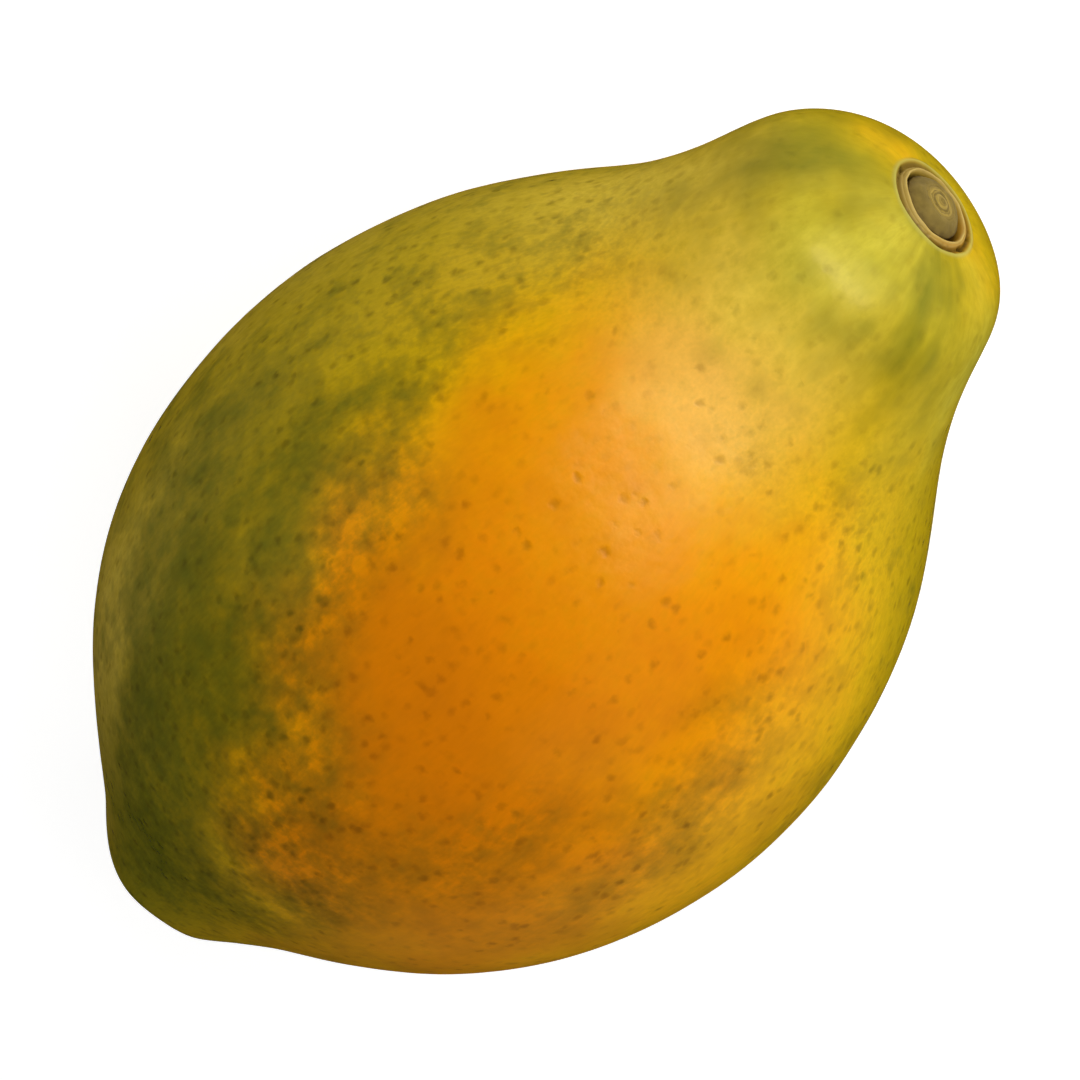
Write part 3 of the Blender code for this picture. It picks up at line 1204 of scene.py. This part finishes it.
@dataclass(frozen=True)
class Softbox:
    """A soft light that faces the fruit.

    Attributes:
        name: Its name.
        azimuth: Its direction from +X towards +Y.
        elevation: Its height over the horizon.
        size: Its width and height, in metres.
        power: Its power, in watts.
        diffuse: Whether it gives light that is scattered.
        glossy: Whether it gives sheen.
        tint: Its colour, as a share of each channel.
        distance: How far from the fruit's origin it is, in metres.
    """

    name: str
    azimuth: float
    elevation: float
    size: tuple[float, float]
    power: float
    diffuse: bool = True
    glossy: bool = False
    tint: tuple[float, float, float] = (1.0, 1.0, 1.0)
    distance: float = 1.2

    @property
    def direction(self) -> Vector:
        """From the fruit to the light."""
        azimuth, elevation = radians(self.azimuth), radians(self.elevation)
        level = cos(elevation)
        return Vector((level * cos(azimuth), level * sin(azimuth), sin(elevation)))

    def hang(self, centre: Vector) -> None:
        """Hang the light so that it faces a place, in metres."""
        data = bpy.data.lights.new(self.name, "AREA")
        data.shape = "RECTANGLE"
        data.size, data.size_y = self.size
        data.energy = self.power
        data.color = self.tint
        obj = bpy.data.objects.new(self.name, data)
        bpy.context.scene.collection.objects.link(obj)
        turn = self.direction.to_track_quat("Z", "Y").to_matrix().to_4x4()
        obj.matrix_world = Matrix.Translation(centre + self.direction * self.distance) @ turn
        obj.visible_diffuse = self.diffuse
        obj.visible_glossy = self.glossy


@dataclass
class Studio:
    """The pale floor, the soft lights and the camera.

    Attributes:
        centre: The fruit's origin, in metres.
        tilt: How far the camera's line leans from straight down towards the stem end.
        roll: How far the fruit's axis rises across the view.
        distance: From the camera to the fruit's origin, in metres.
        lens: The camera's focal length, in millimetres.
        sensor: The width of the camera's sensor, in millimetres.
        far: How far the camera sees, in metres.
        aim: Where the middle of the view lies from the fruit's origin, right and up.
        lights: The soft lights.
        floor_size: Half the floor's width, in metres.
        floor_grey: How much light the floor throws back.
        floor_roughness: How rough it is.
        floor_glow: How brightly it glows.
        surround: How bright the surround is.
    """

    centre: Vector
    tilt: float = 33.0
    roll: float = 41.34
    distance: float = 0.6693
    lens: float = 180.0
    sensor: float = 36.0
    far: float = 50.0
    aim: tuple[float, float] = (1.36, 2.81)
    lights: tuple[Softbox, ...] = (
        Softbox("key", -4.0, 31.0, (1.2, 0.9), 14.0),
        Softbox("side", -85.0, 40.0, (0.9, 0.7), 3.5),
        Softbox("far side", 110.0, 35.0, (0.9, 0.7), 1.6),
        Softbox("sheen", -7.0, 45.5, (1.1, 0.35), 4.2, diffuse=False, glossy=True, tint=(1.0, 0.92, 0.66)),
    )
    floor_size: float = 4.0
    floor_grey: float = 0.60
    floor_roughness: float = 0.9
    floor_glow: float = 0.75
    surround: float = 0.12

    def axes(self) -> tuple[Vector, Vector, Vector]:
        """The camera's right, up and backward directions."""
        tilt, roll = radians(self.tilt), radians(self.roll)
        back = Vector((sin(tilt), 0.0, cos(tilt)))
        along = Vector((cos(tilt), 0.0, -sin(tilt)))
        across = Vector((0.0, 1.0, 0.0))
        right = along * cos(roll) - across * sin(roll)
        up = along * sin(roll) + across * cos(roll)
        return right, up, back

    def camera(self) -> None:
        """Put the camera where the fruit is seen from its stem side and above."""
        right, up, back = self.axes()
        data = bpy.data.cameras.new("camera")
        data.lens = self.lens
        data.sensor_width = self.sensor
        data.clip_end = self.far
        obj = bpy.data.objects.new("camera", data)
        bpy.context.scene.collection.objects.link(obj)
        place = self.centre + (right * self.aim[0] + up * self.aim[1]) * MM + back * self.distance
        turn = Matrix((right, up, back)).transposed().to_4x4()
        obj.matrix_world = Matrix.Translation(place) @ turn
        bpy.context.scene.camera = obj

    def floor(self) -> None:
        """A wide, plain, near-white floor."""
        bm = bmesh.new()
        bmesh.ops.create_grid(bm, x_segments=1, y_segments=1, size=self.floor_size)
        floor = to_object("floor", bm)
        graph = Graph("floor_paint")
        inputs = graph.shader.inputs
        inputs["Base Color"].default_value = (self.floor_grey, self.floor_grey, self.floor_grey, 1.0)
        inputs["Roughness"].default_value = self.floor_roughness
        inputs["Emission Color"].default_value = WHITE
        inputs["Emission Strength"].default_value = self.floor_glow
        floor.data.materials.append(graph.material)
        floor.visible_glossy = False

    def world(self) -> None:
        """An even pale surround."""
        world = bpy.data.worlds.new("surround")
        world.use_nodes = True
        inputs = world.node_tree.nodes["Background"].inputs
        inputs["Color"].default_value = WHITE
        inputs["Strength"].default_value = self.surround
        world.cycles_visibility.glossy = False
        bpy.context.scene.world = world

    def set_up(self) -> None:
        """Set up the camera, the floor, the surround and the lights."""
        self.camera()
        self.floor()
        self.world()
        for light in self.lights:
            light.hang(self.centre)


@dataclass(frozen=True)
class Fit:
    """A stretch and a shift that bring one box to another."""

    stretch: Vector
    shift: Vector

    @classmethod
    def between(cls, bm: bmesh.types.BMesh, flat_spot: float, low: Vector, high: Vector) -> "Fit":
        """The fit that brings a mesh to a solid's box.

        Args:
            bm: The mesh, in its own frame.
            flat_spot: How much of its underside is below the floor.
            low: The solid's lowest corner.
            high: The solid's highest corner.

        Returns:
            The fit.
        """
        found_low = Vector(min(vert.co[axis] for vert in bm.verts) for axis in range(3))
        found_high = Vector(max(vert.co[axis] for vert in bm.verts) for axis in range(3))
        found_low.z += flat_spot * MM
        stretch = Vector((high[axis] - low[axis]) / (found_high[axis] - found_low[axis]) for axis in range(3))
        shift = Vector(low[axis] - found_low[axis] * stretch[axis] for axis in range(3))
        return cls(stretch, shift)

    @property
    def matrix(self) -> Matrix:
        """The fit as a matrix."""
        return Matrix.Translation(self.shift) @ Matrix.Diagonal((*self.stretch, 1.0))


def finish_piece(obj: bpy.types.Object, material: bpy.types.Material, node: str) -> None:
    """Dress a piece, seat it on the fruit's body and report it.

    Args:
        obj: The piece.
        material: Its finish.
        node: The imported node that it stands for.
    """
    obj.data.materials.append(material)
    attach(obj, "root")
    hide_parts(node)
    LOG.info("%s: %d faces", obj.name, len(obj.data.polygons))


def main() -> None:
    """Build the pieces in order, light them and set the camera."""
    logging.basicConfig(level=logging.INFO, format="%(message)s")
    bpy.context.scene.view_settings.view_transform = "Standard"

    body = FruitBody()
    fruit_bm = body.build()
    fit = Fit.between(fruit_bm, body.flat_spot, *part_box("fruit"))
    fruit_bm.transform(fit.matrix)
    for vert in fruit_bm.verts:
        vert.co.z = max(vert.co.z, 0.0)
    origin = fit.matrix.to_translation()
    skin = SkinFinish(origin).material()
    finish_piece(to_object("papaya_skin", fruit_bm), skin, "fruit")

    seat = fit.matrix @ body.scar_frame()
    stalk_bm = StalkEnd().build()
    stalk_bm.transform(seat)
    finish_piece(to_object("stalk_end", stalk_bm), CorkFinish(seat).material(), "stem_stub")

    Studio(centre=origin).set_up()


if __name__ == "__main__":
    main()
